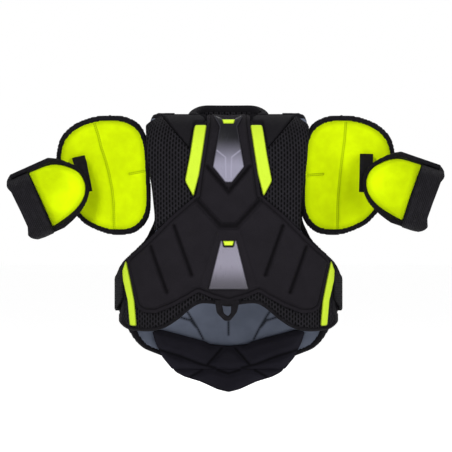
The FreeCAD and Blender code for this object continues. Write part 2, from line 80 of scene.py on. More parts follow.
def node_box(node):
    low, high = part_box(node)
    return np.array(low) / MM, np.array(high) / MM


# ------------------------------------------------------------------ surfaces

MIDDLE = 7.0          # offset at which sheets are measured
NO_SEAM = 99.0        # seam distance stored where a piece has no seam
CHUNK = 2000          # points measured in one go
CLEARANCE = 0.6       # least distance of a grid point from a line, in steps
ON_RIM = 1e-4         # points nearer than this lie on the rim
CORNER = 80.0         # round of the torso's sides
ROUND = 66.0          # round over the shoulders
SIDE_X = 112.0        # centre of the side rounds
CHEST_DEPTH = -node_box("lower_plate")[0][1] - 17.0
BACK_DEPTH = node_box("spine_plate_middle")[1][1] - 13.5


class Torso:
    """The chest side (way -1) or back side (way 1) of the torso form."""

    def __init__(self, way, depth):
        self.way = way
        rest = depth - CORNER
        self.reach = (SIDE_X ** 2 - rest ** 2) / (2 * rest)
        self.depth = depth
        self.turn = math.atan2(SIDE_X, self.reach)
        self.flat_radius = self.reach + depth + MIDDLE
        self.side_radius = CORNER + MIDDLE
        self.over = ROUND + MIDDLE

    def flat(self, x, z, d):
        lift = np.arcsin(np.clip((z + ROUND) / (ROUND + d), 0, 1))
        past = np.maximum(0, z - d)
        b = np.where(z < -ROUND, z, -ROUND + self.over * lift + past)
        offset = -ROUND + (ROUND + d) * np.cos(lift) - past
        radius = self.reach + self.depth + offset
        edge = SIDE_X + (CORNER + offset) * math.sin(self.turn)
        middle = np.arcsin(np.clip(np.abs(x) / radius, 0, 1))
        side = np.arcsin(np.clip((np.abs(x) - SIDE_X) / (CORNER + offset), 0, 1))
        angle = np.where(np.abs(x) < edge, middle, side)
        a = np.where(angle < self.turn, angle * self.flat_radius,
                     self.turn * self.flat_radius + (angle - self.turn) * self.side_radius)
        return np.sign(x) * a, b

    def place(self, a, b, d):
        top = -ROUND + self.over * math.pi / 2
        lift = np.clip((b + ROUND) / self.over, 0, math.pi / 2)
        past = np.maximum(0, b - top)
        offset = -ROUND + (ROUND + d) * np.cos(lift) - past
        z = np.minimum(b, -ROUND) + (ROUND + d) * np.sin(lift)
        edge = self.turn * self.flat_radius
        angle = np.where(np.abs(a) < edge, np.abs(a) / self.flat_radius,
                         self.turn + (np.abs(a) - edge) / self.side_radius)
        radius = self.reach + self.depth + offset
        on_front = angle < self.turn
        x = np.where(on_front, radius * np.sin(angle), SIDE_X + (CORNER + offset) * np.sin(angle))
        y = np.where(on_front, radius * np.cos(angle) - self.reach, (CORNER + offset) * np.cos(angle))
        return np.stack([np.sign(a) * x, self.way * y, z], axis=1)


class Rib:
    """The side of the torso: length round the side round, from the chest to the back."""

    def __init__(self, side):
        self.side = side

    def flat(self, angle, z, d):
        return angle, z

    def place(self, a, b, d):
        angle = a / (CORNER + MIDDLE)
        x = self.side * (SIDE_X + (CORNER + d) * np.sin(angle))
        return np.stack([x, -(CORNER + d) * np.cos(angle), b], axis=1)


class Top:
    """The flat top of the torso form, drawn in plan."""

    def flat(self, x, y, d):
        return x, y

    def place(self, a, b, d):
        core = CORNER - ROUND
        outside = np.hypot(np.maximum(0, np.abs(a) - SIDE_X), b) - core
        out = np.clip(np.where(np.abs(a) > SIDE_X, outside, 0), 0, ROUND)
        z = -ROUND + np.sqrt((ROUND + d) ** 2 - out ** 2)
        return np.stack([a, b, z], axis=1)


class Dome:
    """A ball-shaped shell whose hollow side faces the viewer."""

    def __init__(self, centre, radius, side):
        self.centre = centre
        self.radius = radius
        self.side = side

    def flat(self, x, z, d):
        scale = self.radius / (self.radius + d)
        return x * scale, z * scale

    def place(self, a, b, d):
        rise = np.sqrt(np.maximum(1.0, self.radius ** 2 - a ** 2 - b ** 2))
        scale = (self.radius + d) / self.radius
        x = self.centre[0] + self.side * a * scale
        return np.stack([x, self.centre[1] + rise * scale, self.centre[2] + b * scale], axis=1)


class Sleeve:
    """A tube shell round the arm: way 1 behind the arm, way -1 in front of it."""

    def __init__(self, centre, tilt, side, radius, lift, way):
        self.centre = centre
        self.tilt = math.radians(tilt)
        self.side = side
        self.radius = radius
        self.lift = lift
        self.way = way

    def flat(self, along, across, d):
        share = np.clip((across - self.lift) / (self.radius + d), -1, 1)
        return along, self.radius * np.arcsin(share)

    def place(self, a, b, d):
        angle = b / self.radius
        across = self.lift + (self.radius + d) * np.sin(angle)
        y = self.centre[1] + self.way * (self.radius + d) * np.cos(angle)
        cos, sin = math.cos(self.tilt), math.sin(self.tilt)
        x = self.centre[0] + self.side * (a * cos + across * sin)
        z = self.centre[2] - a * sin + across * cos
        return np.stack([x, y, z], axis=1)


class Band(Sleeve):
    """A sleeve drawn by the length round the arm."""

    def flat(self, along, angle, d):
        return along, angle


# ------------------------------------------------------------------ outlines and sheets

def mirrored(half):
    return list(half) + [(-x, z) for x, z in reversed(half) if x != 0]


def resampled(corners, step, closed=True):
    """Points at an even step along the outline, its corners kept."""
    points = []
    count = len(corners) if closed else len(corners) - 1
    for index in range(count):
        start = np.array(corners[index], float)
        end = np.array(corners[(index + 1) % len(corners)], float)
        pieces = max(1, int(round(np.linalg.norm(end - start) / step)))
        for piece in range(pieces):
            points.append(start + (end - start) * piece / pieces)
    if not closed:
        points.append(np.array(corners[-1], float))
    return np.array(points)


def softened(points, rounds):
    """The outline with its corners rounded a little more each round."""
    for _ in range(rounds):
        points = (np.roll(points, 1, 0) + 2 * points + np.roll(points, -1, 0)) / 4
    return points


def to_line(points, line, closed):
    """Distance of each point to a line, and how far along the line its nearest place is."""
    start = line if closed else line[:-1]
    end = np.roll(line, -1, 0) if closed else line[1:]
    step = end - start
    length = np.maximum(np.linalg.norm(step, axis=1), 1e-9)
    before = np.concatenate([[0], np.cumsum(length)[:-1]])
    near = np.full(len(points), 1e9)
    run = np.zeros(len(points))
    for chunk in range(0, len(points), CHUNK):
        part = points[chunk:chunk + CHUNK]
        gap = part[:, None, :] - start[None]
        share = np.clip((gap * step[None]).sum(2) / (length ** 2)[None], 0, 1)
        away = np.linalg.norm(gap - share[..., None] * step[None], axis=2)
        best = away.argmin(1)
        rows = np.arange(len(part))
        near[chunk:chunk + CHUNK] = away[rows, best]
        run[chunk:chunk + CHUNK] = before[best] + share[rows, best] * length[best]
    return near, run


def inside(points, loop):
    x, y = points[:, 0], points[:, 1]
    result = np.zeros(len(points), bool)
    following = np.roll(loop, -1, 0)
    for (ax, ay), (bx, by) in zip(loop, following):
        crosses = (ay > y) != (by > y)
        if ay != by:
            result ^= crosses & (x < (bx - ax) * (y - ay) / (by - ay) + ax)
    return result


def in_loops(points, loops):
    result = inside(points, loops[0])
    for hole in loops[1:]:
        result &= ~inside(points, hole)
    return result


def triangulated(loops, step, lines):
    """A fine even triangle sheet over the outline, with vertices along the lines."""
    low = loops[0].min(0)
    high = loops[0].max(0)
    rise = step * math.sqrt(3) / 2
    rows = int((high[1] - low[1]) / rise) + 1
    columns = int((high[0] - low[0]) / step) + 2
    row, column = np.meshgrid(np.arange(rows), np.arange(columns), indexing="ij")
    grid = np.stack([low[0] + (column + 0.5 * (row % 2)) * step, low[1] + row * rise], -1).reshape(-1, 2)
    grid = grid[in_loops(grid, loops)]
    drawn = []
    for line in lines:
        rim = np.min([to_line(line, loop, True)[0] for loop in loops], axis=0)
        drawn.append(line[in_loops(line, loops) & (rim > CLEARANCE * step)])
    drawn = [line for line in drawn if len(line) > 1]
    rims = [to_line(grid, loop, True)[0] for loop in loops]
    rims += [to_line(grid, line, False)[0] for line in drawn]
    grid = grid[np.min(rims, axis=0) > CLEARANCE * step]
    edges = []
    first = 0
    for loop in loops:
        count = len(loop)
        edges += [(first + i, first + (i + 1) % count) for i in range(count)]
        first += count
    points = [Vector(p) for p in np.concatenate(list(loops) + drawn + [grid])]
    made = delaunay_2d_cdt(points, edges, [], 0, 1e-6)
    verts = np.array([tuple(v) for v in made[0]])
    faces = np.array([face for face in made[2] if len(face) == 3])
    return verts, faces[in_loops(verts[faces].mean(1), loops)]


def smoothstep(low, high, value):
    t = np.clip((value - low) / (high - low), 0, 1)
    return t * t * (3 - 2 * t)


def crown(near, radius):
    """0 at the edge, rising like a quarter circle to 1."""
    t = np.clip(near / radius, 0, 1)
    return np.sqrt(1 - (1 - t) ** 2)


# ------------------------------------------------------------------ pieces

def finish_piece(name, verts, faces, cloth, seam, material, body, nodes):
    """Makes the mesh object, with the sheet coordinates that its material reads."""
    mesh = bpy.data.meshes.new(name)
    mesh.from_pydata([tuple(v) for v in verts * MM], [], [tuple(int(i) for i in f) for f in faces])
    for label, values in (("cloth", cloth), ("seam", seam)):
        layer = mesh.attributes.new(label, "FLOAT_VECTOR", "POINT")
        layer.data.foreach_set("vector", np.asarray(values, np.float32).ravel())
    shape = bmesh.new()
    shape.from_mesh(mesh)
    bmesh.ops.recalc_face_normals(shape, faces=shape.faces)
    shape.to_mesh(mesh)
    shape.free()
    mesh.shade_smooth()
    mesh.materials.append(material)
    piece = bpy.data.objects.new(name, mesh)
    bpy.context.scene.collection.objects.link(piece)
    if body:
        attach(piece, body)
    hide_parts(*([name] if nodes is None else nodes))
    return piece


def panel(name, surface, loops, between, material, body, step=3.0, rounds=2, edge=4.0, level=0.4,
          relief=None, under=None, seams=(), side=1, nodes=None):
    """One crowned panel: loops in the front view, between two offsets of the surface."""
    inner, outer = between
    seat = inner + (outer - inner) * level
    flats = []
    for corners in loops:
        points = softened(resampled(corners, step), rounds)
        flats.append(np.stack(surface.flat(points[:, 0], points[:, 1], seat), axis=1))
    lines = [flat_line(surface, line, seat, step) for line in seams]
    verts, faces = triangulated(flats, step, lines)
    rim = [to_line(verts, loop, True) for loop in flats]
    near = np.min([r[0] for r in rim], axis=0)
    run = rim[0][1]
    top = seat + (outer - seat) * crown(near, edge)
    low = seat - (seat - inner) * crown(near, edge)
    seam = np.stack([np.full(len(verts), NO_SEAM), run, near], axis=1)
    if seams:
        found = [to_line(verts, line, False) for line in lines]
        nearest = np.array([f[0] for f in found])
        pick = nearest.argmin(0)
        columns = np.arange(len(verts))
        seam[:, 0] = nearest[pick, columns]
        seam[:, 1] = np.array([f[1] for f in found])[pick, columns]
    if relief is not None:
        top = top + relief(verts, near, seat)
    if under is not None:
        low = low + under(verts, near, seat)
    count = len(verts)
    on_rim = near < ON_RIM
    second = np.cumsum(~on_rim) - 1 + count
    lower = np.where(on_rim, np.arange(count), second)
    xyz = np.concatenate([surface.place(verts[:, 0], verts[:, 1], np.where(on_rim, seat, top)),
                          surface.place(verts[:, 0], verts[:, 1], low)[~on_rim]])
    if side < 0:
        xyz[:, 0] *= -1
    all_faces = np.concatenate([faces, lower[faces][:, ::-1]])
    cloth = np.stack([verts[:, 0], verts[:, 1], near], axis=1)
    cloth = np.concatenate([cloth, cloth[~on_rim]])
    seam = np.concatenate([seam, seam[~on_rim]])
    return finish_piece(name, xyz, all_faces, cloth, seam, material, body, nodes)


def flat_line(surface, line, seat, step=2.0):
    points = resampled(line, step, closed=False)
    return np.stack(surface.flat(points[:, 0], points[:, 1], seat), axis=1)


def from_lines(verts, surface, lines, seat):
    """Distance of each point of a sheet to the nearest of some lines of the front view."""
    return np.min([to_line(verts, flat_line(surface, line, seat), False)[0] for line in lines], axis=0)


def channel(away, bottom, reach):
    """1 on the flat bottom of a pressed channel, 0 outside its sloping walls."""
    return 1 - smoothstep(bottom, reach, away)


def grooves(surface, lines, reach, depth):
    """A relief of soft grooves along lines of the front view."""
    return lambda verts, near, seat: -depth * channel(from_lines(verts, surface, lines, seat), 0.5, reach)


def both(*reliefs):
    return lambda verts, near, seat: sum(relief(verts, near, seat) for relief in reliefs)


def tube(name, path, widths, material, body, across=None, sides=20, power=2.0,
         nodes=None):
    """A closed roll or strap along a path. widths gives (half width, half height) at each point."""
    path = np.array(path, float)
    count = len(path)
    rings = []
    cloth = []
    run = 0.0
    for index, point in enumerate(path):
        before = path[max(0, index - 1)]
        after = path[min(count - 1, index + 1)]
        along = (after - before) / np.linalg.norm(after - before)
        if across is None:
            flat = np.cross([0, 0, 1], along)
        else:
            flat = np.array(across(index / (count - 1)), float)
        flat = flat - along * flat.dot(along)
        flat /= np.linalg.norm(flat)
        rise = np.cross(along, flat)
        if index:
            run += np.linalg.norm(point - path[index - 1])
        half_width, half_height = widths(index / (count - 1))
        for turn in range(sides):
            angle = 2 * math.pi * turn / sides
            cos, sin = math.cos(angle), math.sin(angle)
            u = math.copysign(abs(cos) ** (2 / power), cos) * half_width
            v = math.copysign(abs(sin) ** (2 / power), sin) * half_height
            rings.append(point + flat * u + rise * v)
            cloth.append((run, u if abs(u) > abs(v) else v, half_width - abs(u)))
    faces = []
    for index in range(count - 1):
        for turn in range(sides):
            a = index * sides + turn
            b = index * sides + (turn + 1) % sides
            faces.append((a, b, b + sides, a + sides))
    faces.append(tuple(range(sides))[::-1])
    faces.append(tuple((count - 1) * sides + turn for turn in range(sides)))
    seam = [(NO_SEAM, c[0], c[2]) for c in cloth]
    return finish_piece(name, np.array(rings), faces, cloth, seam, material, body, nodes)


# ------------------------------------------------------------------ materials

CLOTH_ROUGH, CLOTH_SHINE = 0.88, 0.05
MESH_ROUGH = 0.85
TAPE_ROUGH, TAPE_SHINE = 0.8, 0.06
LIME_ROUGH, LIME_SHINE = 0.95, 0.08
DYE_SPREAD = 0.16
RIM_SHADE_LINE = 7.0        # distance from the rim of a foam piece of a line painted dark: painted shade in the chest shell's pressed rim groove
COLOUR_INPUTS = (6, 7)
COLOUR_OUTPUT = 2


def srgb(red, green, blue):
    def line(value):
        value /= 255
        return value / 12.92 if value <= 0.04045 else ((value + 0.055) / 1.055) ** 2.4
    return (line(red), line(green), line(blue), 1.0)


class Paint:
    """A procedural material under construction."""

    def __init__(self, name, colour, rough, specular):
        self.material = bpy.data.materials.new(name)
        self.material.use_nodes = True
        self.tree = self.material.node_tree
        self.shader = self.tree.nodes["Principled BSDF"]
        self.shader.inputs["Base Color"].default_value = colour
        self.shader.inputs["Roughness"].default_value = rough
        self.shader.inputs["Specular IOR Level"].default_value = specular
        self.cloth = self.attribute("cloth")
        self.seam = self.attribute("seam")

    def attribute(self, name):
        node = self.tree.nodes.new("ShaderNodeAttribute")
        node.attribute_name = name
        split = self.tree.nodes.new("ShaderNodeSeparateXYZ")
        self.tree.links.new(node.outputs["Vector"], split.inputs[0])
        return {"vector": node.outputs["Vector"], "x": split.outputs[0], "y": split.outputs[1],
                "z": split.outputs[2]}

    def math(self, operation, first, second=None):
        node = self.tree.nodes.new("ShaderNodeMath")
        node.operation = operation
        for index, value in enumerate((first, second)):
            if value is None:
                continue
            if isinstance(value, (int, float)):
                node.inputs[index].default_value = value
            else:
                self.tree.links.new(value, node.inputs[index])
        return node.outputs[0]

    def noise(self, scale, detail, stretch=None):
        node = self.tree.nodes.new("ShaderNodeTexNoise")
        node.inputs["Scale"].default_value = scale
        node.inputs["Detail"].default_value = detail
        source = self.cloth["vector"]
        if stretch:
            scaling = self.tree.nodes.new("ShaderNodeVectorMath")
            scaling.operation = "MULTIPLY"
            scaling.inputs[1].default_value = stretch
            self.tree.links.new(source, scaling.inputs[0])
            source = scaling.outputs[0]
        self.tree.links.new(source, node.inputs["Vector"])
        return node.outputs["Fac"]

    def step(self, value, low, high):
        node = self.tree.nodes.new("ShaderNodeMapRange")
        node.interpolation_type = "SMOOTHSTEP"
        self.tree.links.new(value, node.inputs["Value"])
        node.inputs["From Min"].default_value = low
        node.inputs["From Max"].default_value = high
        return node.outputs["Result"]

    def mix(self, factor, first, second):
        node = self.tree.nodes.new("ShaderNodeMix")
        node.data_type = "RGBA"
        self.tree.links.new(factor, node.inputs["Factor"])
        for index, value in zip(COLOUR_INPUTS, (first, second)):
            if isinstance(value, tuple):
                node.inputs[index].default_value = value
            else:
                self.tree.links.new(value, node.inputs[index])
        return node.outputs[COLOUR_OUTPUT]

    def wave(self, value, period):
        return self.math("SINE", self.math("MULTIPLY", value, 2 * math.pi / period))

    def fold(self, value, period):
        """Distance to the middle of each period, from 0 to half the period."""
        turns = self.math("FRACT", self.math("DIVIDE", value, period))
        return self.math("MULTIPLY", self.math("ABSOLUTE", self.math("SUBTRACT", turns, 0.5)), period)

    def bump(self, height, distance, strength=1.0):
        node = self.tree.nodes.new("ShaderNodeBump")
        node.inputs["Distance"].default_value = distance * MM
        node.inputs["Strength"].default_value = strength
        self.tree.links.new(height, node.inputs["Height"])
        self.tree.links.new(node.outputs["Normal"], self.shader.inputs["Normal"])

    def base(self, socket):
        self.tree.links.new(socket, self.shader.inputs["Base Color"])

    def rough(self, socket):
        self.tree.links.new(socket, self.shader.inputs["Roughness"])

    def stitches(self, thread=0.7, dash=4.5, away=0.0):
        """1 on the threads of the seams: a dashed line beside each seam line."""
        beside = self.math("ABSOLUTE", self.math("SUBTRACT", self.seam["x"], away))
        line = self.math("LESS_THAN", beside, thread)
        dashes = self.math("LESS_THAN", self.fold(self.seam["y"], dash), dash * 0.34)
        return self.math("MULTIPLY", line, dashes)


def tinted(colour, factor):
    return tuple(min(1.0, c * factor) for c in colour[:3]) + (1.0,)


def weave_height(paint, period):
    warp, weft = (paint.wave(paint.cloth[axis], period) for axis in ("x", "y"))
    return paint.math("MULTIPLY", warp, weft)


def woven(name, colour, period, thread=None, rim_seam_shade=False):
    """Plain woven or knitted cloth with uneven dye, painted shade along its seam lines, an optional
    painted-shade line near the rim and optional sewn stitches.
    """
    paint = Paint(name, colour, CLOTH_ROUGH, CLOTH_SHINE)
    dye = paint.noise(0.03, 4.0)
    pale, dark = tinted(colour, 1 + DYE_SPREAD), tinted(colour, 1 - DYE_SPREAD)
    cloth = paint.mix(paint.step(dye, 0.3, 0.7), dark, pale)
    grain = paint.step(weave_height(paint, period), -0.6, 0.9)
    cloth = paint.mix(grain, tinted(colour, 0.78), cloth)
    shadow = paint.step(paint.seam["x"], 4.5, 0.8)
    cloth = paint.mix(paint.math("MULTIPLY", shadow, 0.75), cloth, tinted(colour, 0.25))
    # Painted shade: a dark line along the pressed groove just inside the rim. Foam pieces without that
    # groove get the same dark line.
    if rim_seam_shade:
        rim = paint.math("ABSOLUTE", paint.math("SUBTRACT", paint.seam["z"], RIM_SHADE_LINE))
        pressed = paint.math("MULTIPLY", paint.step(rim, 1.6, 0.4), 0.6)
        cloth = paint.mix(pressed, cloth, tinted(colour, 0.25))
    if thread:
        cloth = paint.mix(paint.stitches(), cloth, thread)
    paint.base(cloth)
    fuzz = paint.math("MULTIPLY", paint.noise(1.1, 2.0), 0.8)
    paint.bump(paint.math("ADD", weave_height(paint, period), fuzz), 0.35, 0.6)
    return paint.material


def spacer_mesh(name, colour, hole):
    """Columns of long holes in a thick knitted mesh, with a painted highlight on the ribs between them and
    painted shade in the holes.
    """
    paint = Paint(name, colour, MESH_ROUGH, CLOTH_SHINE)
    pitch_x, pitch_y = 5.4, 8.6
    column = paint.math("FLOOR", paint.math("DIVIDE", paint.cloth["x"], pitch_x))
    shifted = paint.math("ADD", paint.cloth["y"], paint.math("MULTIPLY", column, pitch_y / 2))
    across = paint.math("DIVIDE", paint.fold(paint.cloth["x"], pitch_x), 1.6)
    along = paint.math("DIVIDE", paint.fold(shifted, pitch_y), 3.1)
    squares = [paint.math("POWER", value, 2) for value in (across, along)]
    far = paint.math("SQRT", paint.math("ADD", *squares))
    open_part = paint.step(far, 1.15, 0.8)
    rib_and_highlight = paint.step(paint.fold(paint.cloth["x"], pitch_x), 1.4, 2.7)
    dye = paint.noise(0.05, 3.0)
    cloth = paint.mix(paint.step(dye, 0.3, 0.7), tinted(colour, 0.85), tinted(colour, 1.25))
    # Painted highlight: the ribs between the columns of holes are lightened.
    cloth = paint.mix(rib_and_highlight, cloth, tinted(colour, 1.4))
    # Painted shade: the holes take the near-black hole colour.
    paint.base(paint.mix(open_part, cloth, hole))
    height = paint.math("SUBTRACT", paint.math("MULTIPLY", rib_and_highlight, 0.5), open_part)
    paint.bump(paint.math("ADD", height, paint.math("MULTIPLY", paint.noise(1.3, 2.0), 0.25)), 1.6, 0.9)
    return paint.material


def ribbed(name, colour, period, along):
    """Elastic, webbing or binding tape: ribs across, fine threads along."""
    paint = Paint(name, colour, TAPE_ROUGH, TAPE_SHINE)
    other = "x" if along == "y" else "y"
    ribs = paint.wave(paint.cloth[along], period)
    threads = paint.wave(paint.cloth[other], period * 0.7)
    height = paint.math("ADD", ribs, paint.math("MULTIPLY", threads, 0.45))
    cloth = paint.mix(paint.step(ribs, -0.9, 0.9), tinted(colour, 0.6), tinted(colour, 1.35))
    worn = paint.step(paint.noise(0.09, 4.0), 0.45, 0.75)
    paint.base(paint.mix(worn, cloth, tinted(colour, 1.5)))
    paint.bump(height, 0.5, 0.7)
    return paint.material


def lime_cloth(name, colour, shade):
    """Brushed lime tricot: soft mottling, fine knit lines, sewn seams in a darker thread."""
    paint = Paint(name, colour, LIME_ROUGH, LIME_SHINE)
    mottle = paint.step(paint.noise(0.045, 5.0), 0.3, 0.72)
    cloth = paint.mix(mottle, tinted(colour, 0.9), tinted(colour, 1.1))
    knit = paint.step(weave_height(paint, 2.0), -0.9, 0.9)
    cloth = paint.mix(knit, tinted(colour, 0.9), cloth)
    beside = paint.step(paint.seam["x"], 2.6, 0.4)
    cloth = paint.mix(paint.math("MULTIPLY", beside, 0.35), cloth, shade)
    cloth = paint.mix(paint.stitches(0.6, 3.6, 1.6), cloth, tinted(shade, 0.75))
    edge = paint.step(paint.seam["z"], 13.0, 1.0)
    cloth = paint.mix(paint.math("MULTIPLY", edge, 0.55), cloth, shade)
    paint.base(cloth)
    paint.bump(paint.math("ADD", weave_height(paint, 2.0), paint.noise(0.9, 3.0)), 0.3, 0.5)
    return paint.material


def moulded(name, colour, rough, specular, top=None, blend=None):
    """Moulded plastic: fine orange-peel, scuffs, a painted highlight along raised ribs, optional shade
    along the height.
    """
    paint = Paint(name, colour, rough, specular)
    body = colour
    if top:
        body = paint.mix(paint.step(paint.cloth["y"], blend[0], blend[1]), colour, top)
    scuff = paint.step(paint.noise(0.25, 6.0, stretch=(1.0, 0.25, 1.0)), 0.58, 0.72)
    skin = paint.mix(paint.math("MULTIPLY", scuff, 0.15), body, tinted(colour, 0.6))
    # Painted highlight: lighter along the raised ribs, which are drawn as seam lines.
    raised = paint.step(paint.seam["x"], 2.0, 0.4)
    skin = paint.mix(paint.math("MULTIPLY", raised, 0.5), skin, tinted(colour, 1.35))
    border = paint.step(paint.seam["z"], 2.6, 0.4)
    paint.base(paint.mix(paint.math("MULTIPLY", border, 0.7), skin, tinted(colour, 0.18)))
    paint.rough(paint.math("ADD", paint.math("MULTIPLY", scuff, 0.2), rough))
    paint.bump(paint.noise(0.9, 2.0), 0.25, 0.35)
    return paint.material


THREAD = srgb(12, 12, 14)
LIME = srgb(200, 225, 0)
LIME_SHADE = srgb(132, 156, 0)

foam_cloth = woven("foam_cloth", srgb(26, 24, 28), 1.8, rim_seam_shade=True)
black_cloth = woven("black_cloth", srgb(22, 21, 24), 2.2)
quilt_cloth = woven("quilt_cloth", srgb(30, 29, 36), 1.8, thread=srgb(8, 8, 10))
grey_lining = woven("grey_lining", srgb(93, 99, 114), 2.0, thread=THREAD)
# The last colour is painted shade for the holes of the mesh.
mesh_cloth = spacer_mesh("mesh_cloth", srgb(24, 23, 26), srgb(3, 3, 4))
lime_lining = lime_cloth("lime_lining", LIME, LIME_SHADE)
lime_strip = moulded("lime_strip", srgb(166, 191, 42), 0.75, 0.08)
lime_tab = moulded("lime_tab", srgb(182, 210, 40), 0.5, 0.2)
binding_tape = ribbed("binding_tape", srgb(17, 16, 19), 2.4, "x")
webbing = ribbed("webbing", srgb(19, 18, 21), 2.2, "x")
elastic = ribbed("elastic", srgb(20, 19, 22), 3.2, "x")
strap_elastic = ribbed("strap_elastic", srgb(24, 24, 26), 3.2, "y")
smoke_plastic = moulded("smoke_plastic", srgb(116, 114, 129), 0.5, 0.14, srgb(15, 15, 19), (-86.0, -34.0))
plate_plastic = moulded("plate_plastic", srgb(62, 60, 68), 0.45, 0.3, srgb(112, 109, 122),
                        (-300.0, -256.0))
black_plastic = moulded("black_plastic", srgb(24, 24, 27), 0.45, 0.3)

# ------------------------------------------------------------------ chest

chest = Torso(-1, CHEST_DEPTH)
back = Torso(1, BACK_DEPTH)

CHEST = mirrored([
    (0, 6.5), (20, 7.2), (38.7, 8.8), (39, -8), (45.8, -54), (52.8, -99), (57.5, -137), (69, -144.5),
    (105, -175.5), (141, -212), (177, -245), (182, -254.5), (175, -288), (167.7, -324),
    (163, -338), (150, -346), (130, -347), (100, -335), (70, -319), (54, -309), (30, -319), (0, -328)])
HEXAGON = [[(-55, -146), (-14, -191), (14, -191), (55, -146)]]
WEDGE = [[(-38, -85), (0, -130), (38, -85)]]
RIBS = [[(s * 97, -191), (s * 66, -278)] for s in (-1, 1)]
RIBS += [[(s * 139, -228), (s * 110, -309)] for s in (-1, 1)]
FRAME = mirrored([(0, -196), (19, -196), (53, -306), (0, -306)])
RIM_LINE = 8.0


def chest_relief(verts, near, seat):
    """Flat flange at the edge, piping, then a raised body with pressed channels."""
    flange = -4.0 * (1 - smoothstep(RIM_LINE, RIM_LINE + 3.5, near))
    piping = 1.2 * np.exp(-((near - 3.0) / 1.5) ** 2) - 1.6 * np.exp(-((near - RIM_LINE + 1.0) / 1.2) ** 2)
    pressed = np.zeros(len(verts))
    for lines, depth, bottom, reach in ((RIBS, 5.6, 1.0, 6.0), (HEXAGON, 6.4, 3.8, 7.4),
                                        (WEDGE, 6.2, 2.4, 5.4)):
        away = from_lines(verts, chest, lines, seat)
        pressed = np.maximum(pressed, depth * channel(away, bottom, reach))
    edge = flat_line(chest, FRAME + FRAME[:1], seat)
    away = to_line(verts, edge, False)[0] * np.where(inside(verts, edge), 1, -1)
    raised = 2.4 * smoothstep(-1.5, 1.5, away) * smoothstep(RIM_LINE, RIM_LINE + 6, near)
    swell = 1.6 * smoothstep(10, 40, near)
    return flange + piping + swell + raised * (pressed < 0.5) - pressed


panel("chest_shell", chest, [CHEST], (4.7, 11.8), foam_cloth, "chest", step=2.2, rounds=2,
      edge=4.0, relief=chest_relief, seams=RIBS + HEXAGON + WEDGE)

STERNUM = mirrored([(0, -8), (8.5, -8), (11, 1), (26, 7), (15.5, -13), (28, -85), (6, -113), (0, -113)])
LOWER_PLATE = mirrored([(0, -228), (8.5, -228), (11, -216.5), (14, -216.5), (36, -304), (0, -304)])
Y_RIB = [[(s * 21, -56), (s * 5.5, -68), (s * 4.5, -104)] for s in (-1, 1)]


def sternum_relief(verts, near, seat):
    ridge = np.exp(-(from_lines(verts, chest, Y_RIB, seat) / 1.6) ** 2)
    return 1.0 * ridge + 0.8 * smoothstep(0, 14, near)


def lower_relief(verts, near, seat):
    return 0.9 * smoothstep(2, 16, near) - 0.8 * np.exp(-((near - 4.5) / 0.9) ** 2)


panel("sternum_plate", chest, [STERNUM], (13.4, 16.6), smoke_plastic, "chest", step=1.6,
      rounds=1, edge=1.6, relief=sternum_relief, seams=Y_RIB)
panel("lower_plate", chest, [LOWER_PLATE], (14.6, 18.0), plate_plastic, "chest",
      step=1.8, rounds=1, edge=1.6, relief=lower_relief)
panel("sternum_tab", chest, [mirrored([(0, 0), (11.8, 0), (9.2, -7.6), (0, -7.6)])], (13.4, 17.4),
      lime_tab, "chest", step=1.2, rounds=1, edge=1.2, level=0.9)
panel("lower_tab", chest, [mirrored([(0, -217), (10.2, -217), (7.8, -226), (0, -226)])], (14.6, 18.8),
      lime_tab, "chest", step=1.2, rounds=1, edge=1.2)

UPPER_STRIP = [(60, -10), (38.8, -10), (45.2, -54), (52.2, -99), (62.6, -139), (78, -110), (69, -63),
               (62, -18)]
LOWER_STRIP = [(184, -252), (191, -272), (189.5, -288), (181, -324), (177, -369), (165, -370),
               (168.7, -324), (176, -288), (183.2, -256)]
WING = [(134, -6), (144.5, -14), (141, -72), (133, -126), (128.5, -171), (129, -202), (103, -177),
        (67.5, -146.4), (62.4, -140), (76.8, -110), (68, -64), (67, -55), (118.5, 3.5)]
SHOULDER = [(41, 1), (55, 7), (66, 14), (123, 14), (124, 7), (118.8, 4.0), (69.9, -53.4), (62.9, -18),
            (60.8, -6.2), (41, -6.2)]
YOKE_FRONT = [(110, 4), (131, 3.5), (139, -2), (143, -14), (140, -26), (112, -6)]


def wing_relief(verts, near, seat):
    return 1.2 * np.exp(-((near - 3.0) / 1.6) ** 2) + 2.0 * smoothstep(6, 30, near)


WING_REACH = {"left": 4.0, "right": 0.0}      # how much further out each wing reaches
UNDER_STRIP = [(36, -4), (66, -4), (74, -62), (82, -112), (68, -148), (54, -148), (48, -99), (41, -54)]

for side_name, side in SIDES:
    panel("strip_backing_" + side_name, chest, [UNDER_STRIP], (0.2, 4.4), black_cloth,
          "chest", step=3.0, rounds=2, edge=2.0, side=side, nodes=[])
    panel("upper_strip_" + side_name, chest, [UPPER_STRIP], (4.7, 9.4), lime_strip,
          "chest", step=2.0, rounds=3, edge=2.0, level=0.7, side=side)
    panel("lower_strip_" + side_name, chest, [LOWER_STRIP], (4.7, 9.0), lime_strip,
          "chest", step=2.0, rounds=2, edge=2.0, level=0.85, side=side)
    wing = [(x + WING_REACH[side_name] * float(smoothstep(118, 130, x)), z) for x, z in WING]
    panel("mesh_wing_" + side_name, chest, [wing], (0.5, 9.0), mesh_cloth, "chest", step=3.0,
          rounds=2, edge=5.0, relief=wing_relief, side=side)
    cloth = panel("shoulder_front_" + side_name, chest, [SHOULDER], (1.0, 8.5), black_cloth,
                  None, step=3.0, rounds=2, edge=4.0, side=side)
    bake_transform(cloth)
    panel("yoke_lining_" + side_name, chest, [YOKE_FRONT], (-1.0, 3.5), grey_lining,
          "back", step=2.4, rounds=1, edge=2.0, side=side, nodes=[])

